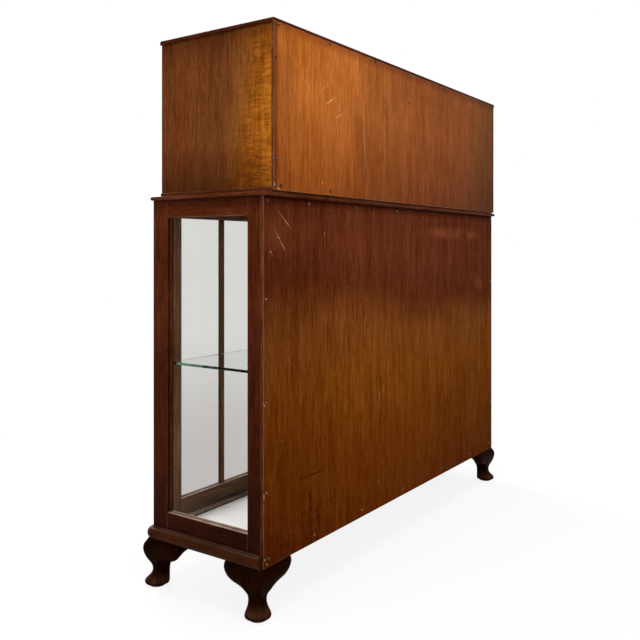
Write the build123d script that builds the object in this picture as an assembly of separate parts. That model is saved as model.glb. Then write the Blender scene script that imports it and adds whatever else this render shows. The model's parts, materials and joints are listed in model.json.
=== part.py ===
from build123d import *
import os

# Glazed cabinet on short cabriole legs, with a closed case of drawers on top.
# Millimetres. X runs along the width, the front faces -Y and Z is up.
# The origin is on the floor, under the middle of the whole cabinet.

# Lower glazed case
case_half_width = 602.0
case_front = -162.0
panel_thickness = 6.5
lower_rear = 162.0
carcass_rear = lower_rear - panel_thickness
leg_height = 108.0
base_thickness = 26.0
base_projection = 17.0
base_corner_radius = 26.0
base_ledge_height = 2.0
base_ledge_projection = 5.0
base_nose_flat = 0.6
base_top = leg_height + base_thickness
mid_underside = 878.0
mid_nose_thickness = 8.0
mid_nose_radius = 3.5
mid_nose_top = mid_underside + mid_nose_thickness
mid_top = 895.0
mid_step_projection = 1.5
mid_half_width = 610.0
mid_front = -170.0
mid_rear = 174.0
mid_corner_radius = 12.0

# Upper case
upper_half_width = 585.5
upper_front = -152.0
upper_rear = 176.0
upper_carcass_rear = upper_rear - panel_thickness
upper_side_thickness = 16.0
top_underside = 1236.0
top_thickness = 9.5
top_overhang = 4.5
top_corner_radius = 6.0
top_upper_round = 5.0
top_lower_round = 1.5
panel_foot_lap = 6.0
panel_head_lap = 2.5

# Glazed side frames
side_thickness = 22.0
side_inner = case_half_width - side_thickness
front_stile_width = 45.0
rear_stile_width = 36.5
stile_corner_radius = 1.5
side_top_rail = 40.0
side_bottom_rail = 38.0
lip_thickness = 9.0
rebate_width = 8.0
glass_thickness = 4.0
glass_play = 1.0
bead_round = 4.0

# Inside the lower case
lining_thickness = 3.0
stop_strip_gap = 0.5
stop_strip_width = 23.5
stop_strip_height = 6.0
stop_strip_round = 2.0
rear_rail_depth = 22.0
rear_rail_height = 28.0
shelf_thickness = 6.0
shelf_underside = 503.0
shelf_half_width = 577.0
shelf_front = -131.0
shelf_rear = 148.0
shelf_edge_bevel = 0.6
peg_radius = 2.5
peg_length = 14.0
peg_rows = (-129.0, 135.0)

# Doors
door_gap = 1.5
meeting_gap = 1.0
door_thickness = 20.0
door_stile_width = 48.0
door_bottom_rail = 44.5
door_top_rail = 36.5
bar_width = 13.0
bar_front_lip = 5.0
bar_back_lip = 3.0
bar_groove_depth = 4.0
bar_round = 4.0
bar_offset = 148.5
groove_depth = 7.0
door_glass_setback = 8.0
door_bottom = base_top + door_gap
door_top = mid_underside - door_gap
door_back = case_front + door_thickness
door_hinge_edge = side_inner - door_gap

# Butt hinges
hinge_stand = 3.5
hinge_axis_x = side_inner - door_gap / 2
hinge_axis_y = case_front - hinge_stand
knuckle_radius = 3.2
knuckle_count = 5
knuckle_length = 12.0
knuckle_gap = 0.4
leaf_thickness = 1.5
leaf_width = 22.0
tab_thickness = 2.25
pin_radius = 1.5
pin_clearance = 0.06
hinge_heights = (232.0, 780.0)

# Drawers, in two columns of three
drawer_rows = ("bottom", "middle", "top")
divider_thickness = 16.0
upper_bottom_thickness = 16.0
rail_thickness = 12.0
rail_depth = 40.0
runner_width = 22.0
drawer_gap = 1.0
drawer_side_gap = 2.0
drawer_lift = 0.3
drawer_front_thickness = 18.0
drawer_front_round = 2.0
drawer_side_thickness = 10.0
drawer_side_height = 80.0
drawer_rear = 140.0
drawer_bottom_thickness = 5.0
drawer_bottom_rise = 8.0
drawer_groove_depth = 5.0
drawer_knob_spacing = 300.0

# Turned knobs
knob_stem_radius = 5.0
knob_flange_radius = 9.0
knob_flange_end = 2.0
knob_neck_radius = 6.5
knob_neck_end = 5.0
knob_radius = 13.0
knob_rim_start = 11.0
knob_rim_end = 14.0
knob_face_radius = 8.5
knob_length = 19.0

# Screws with raised heads in the two back panels
screw_head_radius = 3.0
screw_head_height = 2.5
screw_head_taper = 32.0
screw_head_sides = 12
screw_shank_radius = 1.4
screw_shank_length = 18.0
screw_shank_sides = 6
upper_side_inset = 6.5
upper_top_inset = 2.0
upper_bottom_inset = 3.5
lower_side_inset = 8.0
lower_top_inset = 10.0
lower_bottom_inset = 8.0
upper_side_rows = (1164.0, 954.0)
upper_middle_rows = (1160.0, 961.0)
lower_side_rows = (663.0, 450.0, 264.0)

# Legs: height, outer corner, inner corner, outer corner radius, other corner radii.
# The corners are measured inwards from the leg's own corner, just outside the corner of the case.
leg_outset = 4.0
leg_forward = 3.0
leg_sections = (
    (5.0, -15.3, 35.9, 22.6, 22.6),
    (11.0, -16.2, 36.8, 23.3, 23.3),
    (21.0, -8.0, 35.5, 18.6, 18.6),
    (38.0, -1.6, 35.0, 15.2, 15.6),
    (48.0, -3.2, 36.5, 13.0, 16.0),
    (60.0, -8.2, 40.0, 8.0, 11.0),
    (74.0, -12.4, 44.0, 4.0, 6.0),
    (86.0, -13.4, 46.0, 2.5, 3.0),
    (98.0, -10.0, 46.0, 2.0, 3.0),
    (leg_height, -5.0, 46.0, 2.0, 3.0),
)
pad_radius = 23.0
pad_foot_radius = 18.5
pad_height = 6.0
pad_centre = 10.3
# Ears: share of the reach, underside height, top height, outward swell.
ear_head = leg_height + 2.0
ear_sections = (
    (0.24, 46.0, ear_head, 12.0),
    (0.40, 55.0, ear_head, 13.0),
    (0.62, 63.5, ear_head, 13.0),
    (0.84, 71.0, ear_head, 11.0),
    (0.95, 79.5, ear_head, 7.0),
    (1.00, 88.0, 99.0, 2.5),
)
side_ear_reach = 93.0
wide_ear_reach = 108.0
ear_thickness = 24.0
ear_back_share = 0.4


def block(x0, x1, y0, y1, z0, z1):
    return Pos((x0 + x1) / 2, (y0 + y1) / 2, (z0 + z1) / 2) * Box(x1 - x0, y1 - y0, z1 - z0)


def mirrored(shape):
    return mirror(shape, about=Plane.YZ)


def save(name, *solids):
    shape = solids[0] if len(solids) == 1 else Compound(children=list(solids))
    shape.label = name
    export_step(shape, f"parts/{name}.step")


def save_pair(name, *right_solids):
    save(f"{name}_right", *right_solids)
    save(f"{name}_left", *[mirrored(solid) for solid in right_solids])


# Legs
def leg_section(height, near, far, near_radius, far_radius):
    corners = ((near, near), (far, near), (far, far), (near, far))
    inward = ((1, 1), (-1, 1), (-1, -1), (1, -1))
    radii = (near_radius, far_radius, far_radius, far_radius)
    arcs = []
    for turn, (corner, way, radius) in enumerate(zip(corners, inward, radii)):
        centre = (corner[0] + way[0] * radius, corner[1] + way[1] * radius)
        arcs.append(CenterArc(centre, radius, 180 + 90 * turn, 90))
    edges = []
    for turn, arc in enumerate(arcs):
        edges += [arc, Line(arc @ 1, arcs[(turn + 1) % 4] @ 0)]
    return Pos(0, 0, height) * make_face(edges)


def ear_section(distance, underside, top, swell):
    top_front = (0, top)
    low_front = (0, underside)
    middle = (-swell, (top + underside) / 2)
    low_back = (ear_thickness, underside + ear_back_share * (top - underside))
    top_back = (ear_thickness, top)
    front = ThreePointArc(top_front, middle, low_front)
    rest = Polyline(low_front, low_back, top_back, top_front)
    plane = Plane(origin=(distance, 0, 0), x_dir=(0, 1, 0), z_dir=(1, 0, 0))
    return plane * make_face([front, rest])


def ear(reach):
    whole = loft([ear_section(share * reach, *sizes) for share, *sizes in ear_sections])
    return whole & block(0, reach, -ear_thickness, ear_thickness, 0, leg_height)


def leg():
    column = loft([leg_section(*section) for section in leg_sections])
    wide_ear = ear(wide_ear_reach)
    side_ear = mirror(ear(side_ear_reach), about=Plane(origin=(0, 0, 0), z_dir=(1, -1, 0)))
    pad = Pos(pad_centre, pad_centre, pad_height / 2) * Cone(pad_foot_radius, pad_radius, pad_height)
    return column + pad + wide_ear + side_ear


def save_legs():
    corner_leg = leg()
    corner_x = case_half_width + leg_outset
    front_left = Pos(-corner_x, case_front - leg_forward, 0) * corner_leg
    rear_left = Pos(-corner_x, carcass_rear - leg_forward, 0) * mirror(corner_leg, about=Plane.XZ)
    save("leg_front_left", front_left)
    save("leg_front_right", mirrored(front_left))
    save("leg_rear_left", rear_left)
    save("leg_rear_right", mirrored(rear_left))


# Boards of the carcass
def moulded_board(half_width, front, rear, bottom, top, corner, top_round, bottom_round, rear_too):
    board = block(-half_width, half_width, front, rear, bottom, top)
    uprights = board.edges().filter_by(Axis.Z).sort_by(Axis.Y)
    board = fillet(uprights if rear_too else uprights[:2], corner)
    for axis_end, radius in ((-1, top_round), (0, bottom_round)):
        rim = board.faces().sort_by(Axis.Z)[axis_end].edges()
        rim = rim if rear_too else rim.sort_by(Axis.Y)[:-1]
        board = fillet(rim, radius)
    return board


def base_board():
    ledge_floor = base_top - base_ledge_height
    nose = (ledge_floor - leg_height - base_nose_flat) / 2
    board = moulded_board(
        case_half_width + base_projection, case_front - base_projection, carcass_rear,
        leg_height, ledge_floor, base_corner_radius, nose, nose, False
    )
    reach = case_half_width + base_ledge_projection
    front = case_front - base_ledge_projection
    ledge = block(-reach, reach, front, carcass_rear, ledge_floor, base_top)
    uprights = ledge.edges().filter_by(Axis.Z).sort_by(Axis.Y)[:2]
    ledge_corner = base_corner_radius - base_projection + base_ledge_projection
    return board + fillet(uprights, ledge_corner)


def mid_board():
    board = moulded_board(
        mid_half_width, mid_front, mid_rear, mid_underside, mid_nose_top, mid_corner_radius,
        mid_nose_radius, mid_nose_radius, True
    )
    reach = upper_half_width + mid_step_projection
    front = upper_front - mid_step_projection
    return board + block(-reach, reach, front, upper_carcass_rear, mid_nose_top, mid_top)


def upper_top_board():
    reach = upper_half_width + top_overhang
    front = upper_front - top_overhang
    top = top_underside + top_thickness
    board = moulded_board(
        reach, front, upper_rear, top_underside, top, top_corner_radius,
        top_upper_round, top_lower_round, False
    )
    return board - block(
        -upper_half_width, upper_half_width, upper_carcass_rear, upper_rear,
        top_underside, top_underside + panel_head_lap
    )


# Glazed side frames, made for the right side
def hinge_recess(z):
    half = knuckle_count * knuckle_length / 2
    return block(
        side_inner, side_inner + leaf_thickness, case_front, case_front + leaf_width, z - half, z + half
    )


def side_stiles():
    rebate_x = case_half_width - lip_thickness
    front_edge = case_front + front_stile_width
    rear_edge = carcass_rear - rear_stile_width
    front = block(side_inner, case_half_width, case_front, front_edge, base_top, mid_underside)
    rear = block(side_inner, case_half_width, rear_edge, carcass_rear, base_top, mid_underside)
    front -= block(side_inner, rebate_x, front_edge - rebate_width, front_edge, base_top, mid_underside)
    rear -= block(side_inner, rebate_x, rear_edge, rear_edge + rebate_width, base_top, mid_underside)
    corner = front.edges().filter_by(Axis.Z).group_by(Axis.Y)[0].sort_by(Axis.X)[-1]
    front = fillet(corner, stile_corner_radius)
    for z in hinge_heights:
        front -= hinge_recess(z)
    return front, rear


def side_rails():
    rebate_x = case_half_width - lip_thickness
    y0 = case_front + front_stile_width
    y1 = carcass_rear - rear_stile_width
    low_edge = base_top + side_bottom_rail
    high_edge = mid_underside - side_top_rail
    bottom = block(side_inner, case_half_width, y0, y1, base_top, low_edge)
    top = block(side_inner, case_half_width, y0, y1, high_edge, mid_underside)
    bottom -= block(side_inner, rebate_x, y0, y1, low_edge - rebate_width, low_edge)
    top -= block(side_inner, rebate_x, y0, y1, high_edge, high_edge + rebate_width)
    return bottom, top


def side_opening():
    grow = rebate_width
    y0 = case_front + front_stile_width - grow
    y1 = carcass_rear - rear_stile_width + grow
    z0 = base_top + side_bottom_rail - grow
    z1 = mid_underside - side_top_rail + grow
    return y0, y1, z0, z1


def side_glass():
    y0, y1, z0, z1 = side_opening()
    outer = case_half_width - lip_thickness
    pane = (y0 + glass_play, y1 - glass_play, z0 + glass_play, z1 - glass_play)
    return block(outer - glass_thickness, outer, *pane)


def side_glass_beads():
    y0, y1, z0, z1 = side_opening()
    x0 = side_inner
    x1 = case_half_width - lip_thickness - glass_thickness
    size = rebate_width
    strips = (
        block(x0, x1, y0, y0 + size, z0 + size, z1 - size),
        block(x0, x1, y1 - size, y1, z0 + size, z1 - size),
        block(x0, x1, y0 + size, y1 - size, z0, z0 + size),
        block(x0, x1, y0 + size, y1 - size, z1 - size, z1),
    )
    beads = []
    for strip in strips:
        inside = strip.faces().sort_by(Axis.X)[0]
        towards_pane = inside.edges().sort_by_distance((x0, (y0 + y1) / 2, (z0 + z1) / 2))[0]
        beads.append(fillet(towards_pane, bead_round))
    return beads


# Fittings inside the lower case
def floor_lining():
    return block(
        -side_inner, side_inner, door_back + stop_strip_gap + stop_strip_width, carcass_rear,
        base_top, base_top + lining_thickness
    )


def door_stop_strip():
    front = door_back + stop_strip_gap
    strip = block(
        -side_inner, side_inner, front, front + stop_strip_width, base_top, base_top + stop_strip_height
    )
    top = strip.faces().sort_by(Axis.Z)[-1]
    return fillet(top.edges().filter_by(Axis.X), stop_strip_round)


def back_rails():
    lower = block(
        -side_inner, side_inner, carcass_rear - rear_rail_depth, carcass_rear,
        mid_underside - rear_rail_height, mid_underside
    )
    uppers = []
    inside = upper_half_width - upper_side_thickness
    for x0, x1 in ((-inside, -divider_thickness / 2), (divider_thickness / 2, inside)):
        uppers.append(block(
            x0, x1, upper_carcass_rear - rear_rail_depth, upper_carcass_rear,
            top_underside - rear_rail_height, top_underside
        ))
    return [lower, *uppers]


def glass_shelf():
    top = shelf_underside + shelf_thickness
    shelf = block(-shelf_half_width, shelf_half_width, shelf_front, shelf_rear, shelf_underside, top)
    return chamfer(shelf.edges(), shelf_edge_bevel)


def shelf_pegs():
    pegs = []
    for side in (-1, 1):
        for y in peg_rows:
            place = Pos(side * side_inner, y, shelf_underside - peg_radius) * Rot(0, 90, 0)
            pegs.append(place * Cylinder(peg_radius, peg_length))
    return pegs


# Back panels and their screws
def lower_back_panel():
    return block(
        -case_half_width, case_half_width, carcass_rear, lower_rear, leg_height, mid_underside
    )


def upper_back_panel():
    return block(
        -upper_half_width, upper_half_width, upper_carcass_rear, upper_rear,
        mid_top - panel_foot_lap, top_underside + panel_head_lap
    )


def screw():
    head_outline = RegularPolygon(screw_head_radius, screw_head_sides)
    head = extrude(head_outline, screw_head_height, taper=screw_head_taper)
    shank_outline = RegularPolygon(screw_shank_radius, screw_shank_sides)
    shank = Pos(0, 0, -screw_shank_length) * extrude(shank_outline, screw_shank_length)
    return Rot(-90, 0, 0) * (head + shank)


def spread(half_width, shares):
    return [half_width - 2 * half_width * share for share in shares]


def screw_places():
    top_row = (0.014, 0.176, 0.348, 0.5, 0.677, 0.84, 0.978)
    upper_bottom_row = (0.021, 0.178, 0.328, 0.494, 0.665, 0.83, 0.98)
    lower_top_row = (0.01, 0.133, 0.298, 0.464, 0.636, 0.833, 0.99)
    lower_bottom_row = (0.013, 0.15, 0.318, 0.493, 0.687, 0.85, 0.987)
    places = []
    for x in spread(upper_half_width, top_row):
        places.append((x, upper_rear, top_underside - upper_top_inset))
    for x in spread(upper_half_width, upper_bottom_row):
        places.append((x, upper_rear, mid_top + upper_bottom_inset))
    for x in spread(case_half_width, lower_top_row):
        places.append((x, lower_rear, mid_underside - lower_top_inset))
    for x in spread(case_half_width, lower_bottom_row):
        places.append((x, lower_rear, base_top - lower_bottom_inset))
    for side in (-1, 1):
        for z in upper_side_rows:
            places.append((side * (upper_half_width - upper_side_inset), upper_rear, z))
        for z in lower_side_rows:
            places.append((side * (case_half_width - lower_side_inset), lower_rear, z))
    for z in upper_middle_rows:
        places.append((0, upper_rear, z))
    return places


def back_screws():
    one = screw()
    return [Pos(*place) * one for place in screw_places()]


# Upper case
def upper_side():
    return block(
        upper_half_width - upper_side_thickness, upper_half_width, upper_front, upper_carcass_rear,
        mid_top, top_underside
    )


def upper_bottom_board():
    inside = upper_half_width - upper_side_thickness
    return block(
        -inside, inside, upper_front, upper_carcass_rear, mid_top, mid_top + upper_bottom_thickness
    )


def upper_divider():
    half = divider_thickness / 2
    floor = mid_top + upper_bottom_thickness
    return block(-half, half, upper_front, upper_carcass_rear, floor, top_underside)


row_floor = mid_top + upper_bottom_thickness
row_height = (top_underside - rail_thickness * len(drawer_rows) - row_floor) / len(drawer_rows)
row_pitch = row_height + rail_thickness
column_inner = divider_thickness / 2
column_outer = upper_half_width - upper_side_thickness


def drawer_rails():
    solids = []
    for row in range(len(drawer_rows)):
        z0 = row_floor + row_height + row * row_pitch
        z1 = z0 + rail_thickness
        solids.append(block(column_inner, column_outer, upper_front, upper_front + rail_depth, z0, z1))
        if row == len(drawer_rows) - 1:
            continue
        for x0 in (column_inner, column_outer - runner_width):
            y0 = upper_front + rail_depth
            solids.append(block(x0, x0 + runner_width, y0, upper_carcass_rear, z0, z1))
    return solids + [mirrored(solid) for solid in solids]


# Drawers, made for the right column
def knob():
    stem_end = -drawer_front_thickness
    profile = Polyline(
        (0, stem_end), (knob_stem_radius, stem_end), (knob_stem_radius, 0), (knob_flange_radius, 0),
        (knob_flange_radius, knob_flange_end), (knob_neck_radius, knob_neck_end),
        (knob_radius, knob_rim_start), (knob_radius, knob_rim_end), (knob_face_radius, knob_length),
        (0, knob_length), (0, stem_end),
    )
    turned = revolve(make_face(profile), axis=Axis.Y)
    return Rot(0, 0, 180) * turned


def stem_hole(x, y, z, depth):
    return Pos(x, y + depth / 2, z) * Rot(90, 0, 0) * Cylinder(knob_stem_radius, depth)


def drawer_bottom_span(floor):
    z0 = floor + drawer_bottom_rise
    return z0, z0 + drawer_bottom_thickness


def drawer_knob_places(floor):
    middle = (column_inner + column_outer) / 2
    half = drawer_knob_spacing / 2
    return [(middle + side * half, upper_front, floor + row_height / 2) for side in (-1, 1)]


def drawer_front(floor):
    front = block(
        column_inner + drawer_gap, column_outer - drawer_gap,
        upper_front, upper_front + drawer_front_thickness,
        floor + drawer_gap, floor + row_height - drawer_gap
    )
    face = front.faces().sort_by(Axis.Y)[0]
    front = fillet(face.edges(), drawer_front_round)
    back = upper_front + drawer_front_thickness
    side_inset = drawer_side_gap + drawer_side_thickness - drawer_groove_depth
    z0, z1 = drawer_bottom_span(floor)
    front -= block(
        column_inner + side_inset, column_outer - side_inset, back - drawer_groove_depth, back, z0, z1
    )
    for place in drawer_knob_places(floor):
        front -= stem_hole(*place, drawer_front_thickness)
    return front


def drawer_box(floor):
    x0 = column_inner + drawer_side_gap
    x1 = column_outer - drawer_side_gap
    y0 = upper_front + drawer_front_thickness
    base = floor + drawer_lift
    head = base + drawer_side_height
    z0, z1 = drawer_bottom_span(floor)
    groove = block(
        x0 + drawer_side_thickness - drawer_groove_depth, x1 - drawer_side_thickness + drawer_groove_depth,
        y0 - drawer_groove_depth, drawer_rear, z0, z1
    )
    sides = [
        block(x0, x0 + drawer_side_thickness, y0, drawer_rear, base, head) - groove,
        block(x1 - drawer_side_thickness, x1, y0, drawer_rear, base, head) - groove,
    ]
    back = block(
        x0 + drawer_side_thickness, x1 - drawer_side_thickness,
        drawer_rear - drawer_side_thickness, drawer_rear, z1, head
    )
    return [*sides, back, groove]


def save_drawers():
    turned_knob = knob()
    for row, row_name in enumerate(drawer_rows):
        floor = row_floor + row * row_pitch
        knobs = [Pos(*place) * turned_knob for place in drawer_knob_places(floor)]
        parts = {"front": [drawer_front(floor)], "box": drawer_box(floor), "knobs": knobs}
        for piece, solids in parts.items():
            save(f"drawer_right_{row_name}_{piece}", *solids)
            save(f"drawer_left_{row_name}_{piece}", *[mirrored(solid) for solid in solids])


# Doors, made for the right side
glass_front = case_front + door_glass_setback
glass_back = glass_front + glass_thickness
opening_x0 = meeting_gap + door_stile_width
opening_x1 = door_hinge_edge - door_stile_width
opening_z0 = door_bottom + door_bottom_rail
opening_z1 = door_top - door_top_rail
bar_centres = (opening_x0 + bar_offset, opening_x1 - bar_offset)
door_knob_height = (door_bottom + door_top) / 2


def glass_groove():
    return block(
        opening_x0 - groove_depth, opening_x1 + groove_depth, glass_front, glass_back,
        opening_z0 - groove_depth, opening_z1 + groove_depth
    )


def softened(piece, radius):
    face = piece.faces().sort_by(Axis.Y)[0]
    return fillet(face.edges().filter_by(Axis.Z), radius)


def door_hinge_stile():
    stile = block(opening_x1, door_hinge_edge, case_front, door_back, door_bottom, door_top)
    stile -= glass_groove()
    half = knuckle_count * knuckle_length / 2
    for z in hinge_heights:
        stile -= block(
            door_hinge_edge - leaf_thickness, door_hinge_edge, case_front, case_front + leaf_width,
            z - half, z + half
        )
    return stile


def door_meeting_stile():
    stile = block(meeting_gap, opening_x0, case_front, door_back, door_bottom, door_top)
    stile -= glass_groove()
    middle = (meeting_gap + opening_x0) / 2
    return stile - stem_hole(middle, case_front, door_knob_height, drawer_front_thickness)


def door_rails():
    bottom = block(opening_x0, opening_x1, case_front, door_back, door_bottom, opening_z0)
    top = block(opening_x0, opening_x1, case_front, door_back, opening_z1, door_top)
    return bottom - glass_groove(), top - glass_groove()


def door_glazing_bars():
    bars = []
    for x in bar_centres:
        half = bar_width / 2
        bar = block(
            x - half, x + half, glass_front - bar_front_lip, glass_back + bar_back_lip, opening_z0, opening_z1
        )
        bar = softened(bar, bar_round)
        web = half - bar_groove_depth
        for side in (-1, 1):
            edge = x + side * half
            inner = x + side * web
            bar -= block(
                min(edge, inner), max(edge, inner), glass_front, glass_back, opening_z0, opening_z1
            )
        bars.append(bar)
    return bars


def door_glass():
    web = bar_width / 2 - bar_groove_depth
    edges = [opening_x0 - groove_depth]
    for x in bar_centres:
        edges += [x - web, x + web]
    edges.append(opening_x1 + groove_depth)
    panes = []
    for x0, x1 in zip(edges[::2], edges[1::2]):
        panes.append(block(
            x0 + glass_play, x1 - glass_play, glass_front, glass_back,
            opening_z0 - groove_depth + glass_play, opening_z1 + groove_depth - glass_play
        ))
    return panes


def door_knob():
    middle = (meeting_gap + opening_x0) / 2
    return Pos(middle, case_front, door_knob_height) * knob()


# Hinges, made for the right side
def hinge_leaf(z, plate_x0, tab_x0, own, radius_inside):
    half = knuckle_count * knuckle_length / 2
    y1 = case_front + leaf_width
    leaf = block(plate_x0, plate_x0 + leaf_thickness, case_front, y1, z - half, z + half)
    for number in own:
        z0 = z - half + number * knuckle_length + knuckle_gap / 2
        length = knuckle_length - knuckle_gap
        place = Pos(hinge_axis_x, hinge_axis_y, z0 + length / 2)
        leaf += place * Cylinder(knuckle_radius, length)
        leaf += block(tab_x0, tab_x0 + tab_thickness, hinge_axis_y, case_front, z0, z0 + length)
    if radius_inside:
        leaf -= Pos(hinge_axis_x, hinge_axis_y, z) * Cylinder(radius_inside, 2 * half + 2)
    return leaf


def carcass_hinge_leaf(z):
    leaf = hinge_leaf(z, side_inner, hinge_axis_x, range(0, knuckle_count, 2), 0)
    length = knuckle_count * knuckle_length - knuckle_gap
    return leaf + Pos(hinge_axis_x, hinge_axis_y, z) * Cylinder(pin_radius, length)


def door_hinge_leaf(z):
    plate = door_hinge_edge - leaf_thickness
    return hinge_leaf(
        z, plate, hinge_axis_x - tab_thickness, range(1, knuckle_count, 2), pin_radius + pin_clearance
    )


def save_doors():
    save_pair("door_hinge_stile", door_hinge_stile())
    save_pair("door_meeting_stile", door_meeting_stile())
    save_pair("door_rails", *door_rails())
    save_pair("door_glazing_bars", *door_glazing_bars())
    save_pair("door_glass", *door_glass())
    save_pair("door_knob", door_knob())
    save_pair("door_hinge_leaves", *[door_hinge_leaf(z) for z in hinge_heights])


def save_lower_case():
    save("base_board", base_board())
    save("floor_lining", floor_lining())
    save("door_stop_strip", door_stop_strip())
    save("mid_board", mid_board())
    save("lower_back_panel", lower_back_panel())
    save("glass_shelf", glass_shelf())
    save("shelf_pegs", *shelf_pegs())
    save_pair("side_stiles", *side_stiles())
    save_pair("side_rails", *side_rails())
    save_pair("side_glass", side_glass())
    beads = side_glass_beads()
    save("side_glass_beads", *beads, *[mirrored(bead) for bead in beads])
    leaves = [carcass_hinge_leaf(z) for z in hinge_heights]
    save("carcass_hinge_leaves", *leaves, *[mirrored(leaf) for leaf in leaves])


def save_upper_case():
    save("upper_top_board", upper_top_board())
    save_pair("upper_side", upper_side())
    save("upper_bottom_board", upper_bottom_board())
    save("upper_divider", upper_divider())
    save("upper_back_panel", upper_back_panel())
    save("drawer_rails", *drawer_rails())
    save("back_rails", *back_rails())
    save("back_screws", *back_screws())


os.makedirs("parts", exist_ok=True)
save_legs()
save_lower_case()
save_doors()
save_upper_case()
save_drawers()
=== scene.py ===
import bmesh
import bpy
import json
import math
from mathutils import Matrix, Vector


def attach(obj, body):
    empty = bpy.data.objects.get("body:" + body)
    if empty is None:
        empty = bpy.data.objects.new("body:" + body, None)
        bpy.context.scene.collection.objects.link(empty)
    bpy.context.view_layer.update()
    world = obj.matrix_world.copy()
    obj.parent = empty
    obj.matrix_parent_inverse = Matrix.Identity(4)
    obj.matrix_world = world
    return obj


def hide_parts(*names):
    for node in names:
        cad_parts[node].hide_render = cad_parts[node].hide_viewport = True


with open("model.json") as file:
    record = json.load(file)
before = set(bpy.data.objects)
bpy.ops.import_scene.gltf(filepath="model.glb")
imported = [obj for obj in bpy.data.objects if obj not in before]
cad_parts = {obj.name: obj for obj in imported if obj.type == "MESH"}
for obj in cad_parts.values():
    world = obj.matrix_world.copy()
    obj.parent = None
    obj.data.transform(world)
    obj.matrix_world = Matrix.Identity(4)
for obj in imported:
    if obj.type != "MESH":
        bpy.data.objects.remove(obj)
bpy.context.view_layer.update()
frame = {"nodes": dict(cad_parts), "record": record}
scene = bpy.context.scene
record = frame["record"]
bodyOf = {node: body for body, nodes in record["behaviour"]["bodies"].items() for node in nodes}
sides = {"left": -1, "right": 1}
rows = ("bottom", "middle", "top")


# Camera, at the photograph's place and angle
cameraSetup = {"place": (1.8366, 1.1625, 0.7626), "turnDeg": 124.83, "lensMm": 43.43, "rise": -0.1078}

cameraData = bpy.data.cameras.new("camera")
camera = bpy.data.objects.new("camera", cameraData)
scene.collection.objects.link(camera)
camera.location = cameraSetup["place"]
camera.rotation_euler = (math.radians(90), 0, math.radians(cameraSetup["turnDeg"]))
cameraData.lens = cameraSetup["lensMm"]
cameraData.shift_y = cameraSetup["rise"]
scene.camera = camera


# Node helpers
def linear(hexColour):
    channels = [int(hexColour[i:i + 2], 16) / 255 for i in (1, 3, 5)]
    return [c / 12.92 if c <= 0.04045 else ((c + 0.055) / 1.055) ** 2.4 for c in channels] + [1.0]


def addNode(tree, kind, values=None, links=None, stops=None, outlet=0, **settings):
    node = tree.nodes.new("ShaderNode" + kind)
    for key, setting in settings.items():
        setattr(node, key, setting)
    for socket, value in (values or {}).items():
        node.inputs[socket].default_value = value
    for socket, source in (links or {}).items():
        tree.links.new(source, node.inputs[socket])
    if stops:
        ramp = node.color_ramp.elements
        ramp.remove(ramp[-1])
        ramp[0].position = stops[0][0]
        for place, colour in stops[1:]:
            ramp.new(place).color = linear(colour)
        ramp[0].color = linear(stops[0][1])
    return node.outputs[outlet] if len(node.outputs) else None


def newMaterial(name, values):
    material = bpy.data.materials.new(name)
    material.use_nodes = True
    tree = material.node_tree
    tree.nodes.clear()
    surface = addNode(tree, "BsdfPrincipled", values=values)
    addNode(tree, "OutputMaterial", links={"Surface": surface})
    return material, tree, surface.node


# A noise drawn out along one axis, with its grain size in millimetres
def drawnNoise(tree, sizeMm, detail=2.0, roughness=0.5, distortion=0.0, shift=0.0):
    place = addNode(tree, "TexCoord", outlet="Object")
    scaled = addNode(
        tree, "Mapping", links={"Vector": place},
        values={"Scale": [1000 / mm for mm in sizeMm], "Location": (shift, shift, shift)},
    )
    return addNode(
        tree, "TexNoise", links={"Vector": scaled},
        values={"Scale": 1.0, "Detail": detail, "Roughness": roughness, "Distortion": distortion},
    )


# How far a point lies along a direction, as a share of a span in millimetres
def shareAlong(tree, direction, spanMm):
    place = addNode(tree, "TexCoord", outlet="Object")
    along = addNode(
        tree, "VectorMath", links={0: place}, values={1: direction}, outlet="Value", operation="DOT_PRODUCT"
    )
    return addNode(
        tree, "MapRange", links={"Value": along},
        values={"From Min": spanMm[0] / 1000, "From Max": spanMm[1] / 1000},
    )


# Scratches, stains and broad bands of painted sheen on a rear face. Each runs from x, z to x, z,
# with a width in mm and a strength. Their strength is uneven, in patches of a given size.
markSetup = {"depthMm": 3, "core": 0.3, "wornRange": (0.34, 0.56)}


def markMask(tree, marks, faceMm, patchMm):
    place = addNode(tree, "TexCoord", outlet="Object")
    mask = None
    for x0, z0, x1, z1, widthMm, strength in marks:
        lengthMm = math.hypot(x1 - x0, z1 - z0) + widthMm
        local = addNode(
            tree, "Mapping", links={"Vector": place}, vector_type="TEXTURE",
            values={
                "Location": ((x0 + x1) / 2000, faceMm / 1000, (z0 + z1) / 2000),
                "Rotation": (0, math.atan2(z0 - z1, x1 - x0), 0),
                "Scale": (lengthMm / 2000, markSetup["depthMm"] / 1000, widthMm / 2000),
            },
        )
        reach = addNode(tree, "VectorMath", links={0: local}, outlet="Value", operation="LENGTH")
        spot = addNode(
            tree, "MapRange", links={"Value": reach}, interpolation_type="SMOOTHSTEP",
            values={"From Min": 1.0, "From Max": markSetup["core"], "To Min": 0.0, "To Max": strength},
        )
        mask = spot if mask is None else addNode(tree, "Math", links={0: mask, 1: spot}, operation="MAXIMUM")
    wornLow, wornHigh = markSetup["wornRange"]
    breaks = drawnNoise(tree, [patchMm] * 3, detail=3.0)
    worn = addNode(
        tree, "MapRange", links={"Value": breaks}, values={"From Min": wornLow, "From Max": wornHigh}
    )
    return addNode(tree, "Math", links={0: mask, 1: worn}, operation="MULTIPLY")


# A noise with its long side along the wood's grain
def fibreLayer(tree, look, acrossMm, alongMm, **settings):
    sizeMm = [acrossMm] * 3
    sizeMm["xyz".index(look["grain"])] = alongMm
    return drawnNoise(tree, sizeMm, **settings)
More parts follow.
